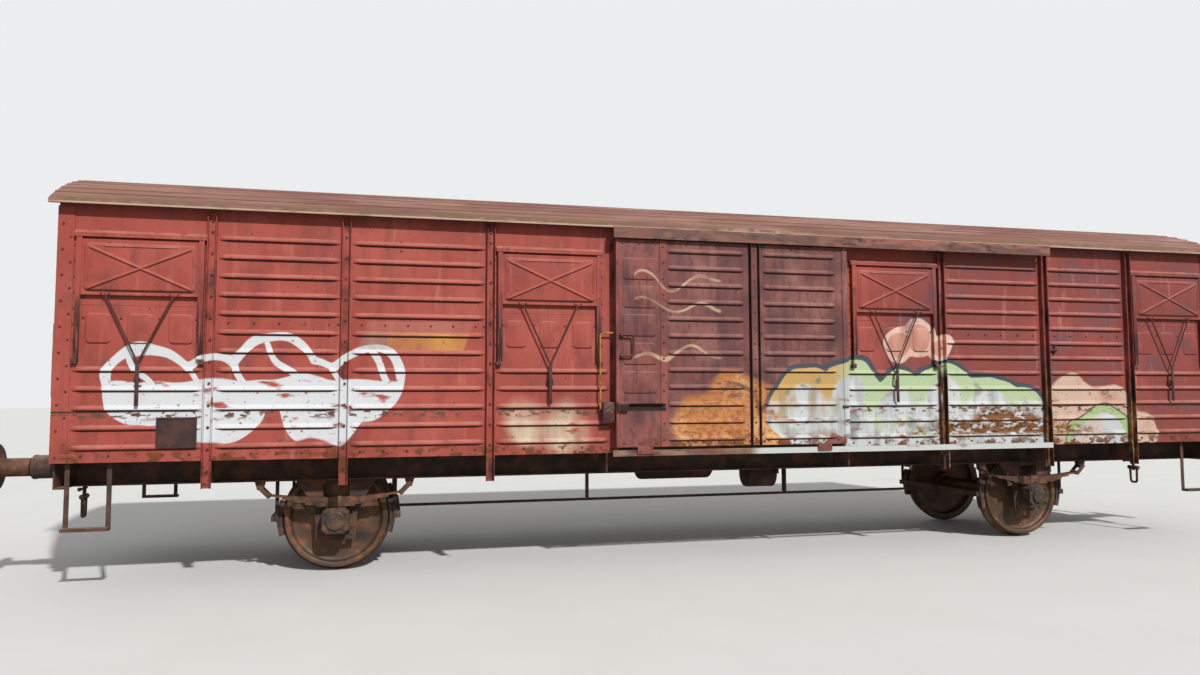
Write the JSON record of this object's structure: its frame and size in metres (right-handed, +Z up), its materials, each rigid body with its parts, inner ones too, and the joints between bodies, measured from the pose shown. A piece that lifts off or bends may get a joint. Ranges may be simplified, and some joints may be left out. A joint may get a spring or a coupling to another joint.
{
  "type": "two-axle covered goods wagon",
  "caption": "Long two-axle covered rail wagon with ribbed sheet sides, sliding doors, drop-down vent shutters and an arched roof; doors, shutters and wheelsets move.",
  "frame": {"origin": "bottom centre: midway between the buffers and between the sides, at the level of the flange tips", "axes": "+X along the wagon to the right in the picture, -Y the side that the picture shows, +Z up"},
  "size_m": [14.02, 3.09, 3.9151],
  "materials": {
    "body_paint": "weathered oxide-red paint on pressed sheet",
    "door_paint": "darker weathered red-brown paint",
    "roof_paint": "faded brown-red paint, dusty",
    "frame_paint": "dark brown paint under rust and dust",
    "rusty_steel": "rusted rolled steel",
    "wheel_steel": "rolled steel, rusted web and worn tread",
    "cast_parts": "rough dark castings",
    "floor_planks": "worn pine planks",
    "grab_yellow": "worn yellow paint",
    "label_steel": "dark paint, blank"
  },
  "bodies": {
    "wagon": {"side_wall_near_left": "body_paint", "side_wall_near_right": "body_paint", "side_wall_far_left": "body_paint", "side_wall_far_right": "body_paint", "end_wall_left": "body_paint", "end_wall_right": "body_paint", "side_posts": "body_paint", "end_posts": "body_paint", "corner_posts": "body_paint", "door_jambs": "body_paint", "cant_rails": "body_paint", "roof_bows": "body_paint", "hatch_frames": "body_paint", "roof": "roof_paint", "floor": "floor_planks", "solebars": "frame_paint", "headstocks": "frame_paint", "crossbearers": "frame_paint", "centre_sills": "frame_paint", "side_sills": "frame_paint", "outriggers": "frame_paint", "corner_steps": "frame_paint", "door_rail_covers": "door_paint", "door_foot_rails": "door_paint", "axle_guards": "frame_paint", "leaf_springs": "frame_paint", "spring_links": "frame_paint", "brake_beams": "frame_paint", "brake_rods": "frame_paint", "brake_vessels": "frame_paint", "brake_pipe": "frame_paint", "axleboxes": "cast_parts", "brake_blocks": "cast_parts", "buffer_casings": "cast_parts", "buffer_plungers": "rusty_steel", "draw_hooks": "rusty_steel", "screw_couplings": "rusty_steel", "handrails": "grab_yellow", "label_holder": "label_steel"},
    "near_door": {"door_leaf_near": "door_paint", "door_fittings_near": "door_paint"},
    "far_door": {"door_leaf_far": "door_paint", "door_fittings_far": "door_paint"},
    "near_shutter_1": {"shutter_near_1": "body_paint"},
    "near_shutter_2": {"shutter_near_2": "body_paint"},
    "near_shutter_3": {"shutter_near_3": "body_paint"},
    "near_shutter_4": {"shutter_near_4": "body_paint"},
    "far_shutter_1": {"shutter_far_1": "body_paint"},
    "far_shutter_2": {"shutter_far_2": "body_paint"},
    "far_shutter_3": {"shutter_far_3": "body_paint"},
    "far_shutter_4": {"shutter_far_4": "body_paint"},
    "left_wheelset": {"wheelset_left": "wheel_steel"},
    "right_wheelset": {"wheelset_right": "wheel_steel"}
  },
  "joints": [
    {"name": "near_door_slide", "type": "slide", "parent": "wagon", "child": "near_door", "axis": [1, 0, 0], "range_m": [0, 2.55]},
    {"name": "far_door_slide", "type": "slide", "parent": "wagon", "child": "far_door", "axis": [-1, 0, 0], "range_m": [0, 2.55]},
    {"name": "near_shutter_1_slide", "type": "slide", "parent": "wagon", "child": "near_shutter_1", "axis": [0, 0, -1], "range_m": [0, 0.5]},
    {"name": "near_shutter_2_slide", "type": "slide", "parent": "wagon", "child": "near_shutter_2", "axis": [0, 0, -1], "range_m": [0, 0.5]},
    {"name": "near_shutter_3_slide", "type": "slide", "parent": "wagon", "child": "near_shutter_3", "axis": [0, 0, -1], "range_m": [0, 0.5]},
    {"name": "near_shutter_4_slide", "type": "slide", "parent": "wagon", "child": "near_shutter_4", "axis": [0, 0, -1], "range_m": [0, 0.5]},
    {"name": "far_shutter_1_slide", "type": "slide", "parent": "wagon", "child": "far_shutter_1", "axis": [0, 0, -1], "range_m": [0, 0.5]},
    {"name": "far_shutter_2_slide", "type": "slide", "parent": "wagon", "child": "far_shutter_2", "axis": [0, 0, -1], "range_m": [0, 0.5]},
    {"name": "far_shutter_3_slide", "type": "slide", "parent": "wagon", "child": "far_shutter_3", "axis": [0, 0, -1], "range_m": [0, 0.5]},
    {"name": "far_shutter_4_slide", "type": "slide", "parent": "wagon", "child": "far_shutter_4", "axis": [0, 0, -1], "range_m": [0, 0.5]},
    {"name": "left_wheelset_spin", "type": "hinge", "parent": "wagon", "child": "left_wheelset", "pos_m": [-4, 0, 0.528], "axis": [0, 1, 0], "continuous": true},
    {"name": "right_wheelset_spin", "type": "hinge", "parent": "wagon", "child": "right_wheelset", "pos_m": [4, 0, 0.528], "axis": [0, 1, 0], "continuous": true}
  ]
}
